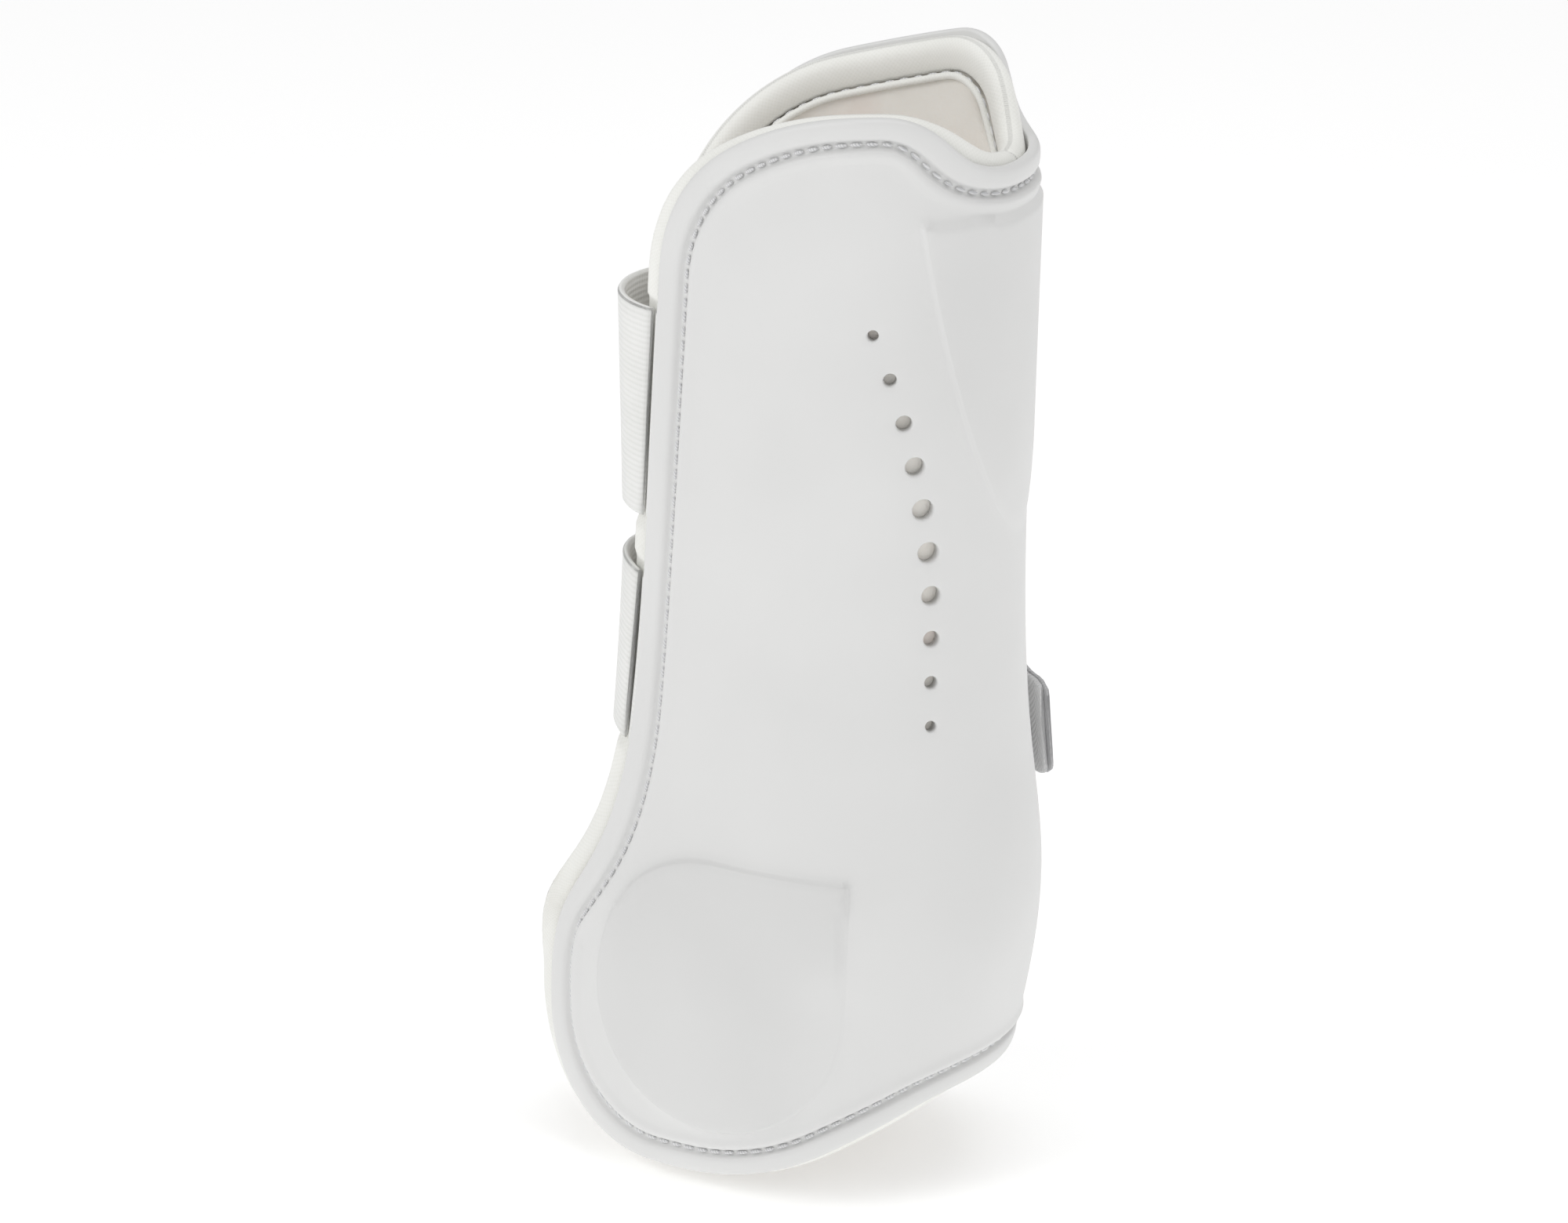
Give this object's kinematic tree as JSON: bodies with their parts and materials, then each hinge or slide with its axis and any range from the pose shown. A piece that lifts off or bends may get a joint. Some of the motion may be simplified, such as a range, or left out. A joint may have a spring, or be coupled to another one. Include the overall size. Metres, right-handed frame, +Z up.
{
  "type": "horse tendon boot",
  "caption": "Open-front horse leg boot: moulded shell with vents, padded rolled-edge liner and elastic straps with peel-back ends.",
  "frame": {"origin": "on the leg's axis at the fetlock, level with the lowest edge of the moulded shell", "axes": "+Z up along the leg, +X to the back of the leg, +Y to the outside of the leg, where the straps close"},
  "size_m": [0.1147, 0.0868, 0.2538],
  "materials": {
    "tpu": "satin moulded thermoplastic",
    "thread": "matte polyester thread",
    "foam": "closed-cell foam",
    "lining": "brushed lining fabric",
    "binding": "soft rolled binding",
    "elastic": "ribbed woven elastic",
    "webbing": "grey webbing",
    "hook": "hook tape",
    "loop": "loop tape"
  },
  "bodies": {
    "boot": {"shell": "tpu", "rim_stitching": "thread", "foam_liner": "foam", "lining": "lining", "rolled_edge": "binding", "piping": "binding", "upper_anchor": "elastic", "lower_anchor": "elastic", "upper_loop_pad": "loop", "lower_loop_pad": "loop"},
    "upper_strap": {"upper_elastic": "elastic", "upper_seam_patch": "elastic"},
    "upper_strap_end": {"upper_hook_pad": "hook", "upper_tab": "webbing"},
    "lower_strap": {"lower_elastic": "elastic", "lower_seam_patch": "elastic"},
    "lower_strap_end": {"lower_hook_pad": "hook", "lower_tab": "webbing"}
  },
  "joints": [
    {"name": "upper_strap_swing", "type": "hinge", "parent": "boot", "child": "upper_strap", "pos_m": [-0.02941, -0.01058, 0.145], "axis": [0.0759, -0.0628, 0.9951], "range_deg": [0, 110]},
    {"name": "upper_end_peel", "type": "hinge", "parent": "upper_strap", "child": "upper_strap_end", "pos_m": [-0.00134, 0.0327, 0.16955], "axis": [-0.0001, 0.0126, 0.9999], "range_deg": [0, 95]},
    {"name": "lower_strap_swing", "type": "hinge", "parent": "boot", "child": "lower_strap", "pos_m": [-0.03379, -0.01087, 0.092], "axis": [0.0844, 0.0228, 0.9962], "range_deg": [0, 110]},
    {"name": "lower_end_peel", "type": "hinge", "parent": "lower_strap", "child": "lower_strap_end", "pos_m": [-0.00133, 0.03428, 0.1016], "axis": [-0.0005, -0.1184, 0.993], "range_deg": [0, 95]}
  ]
}
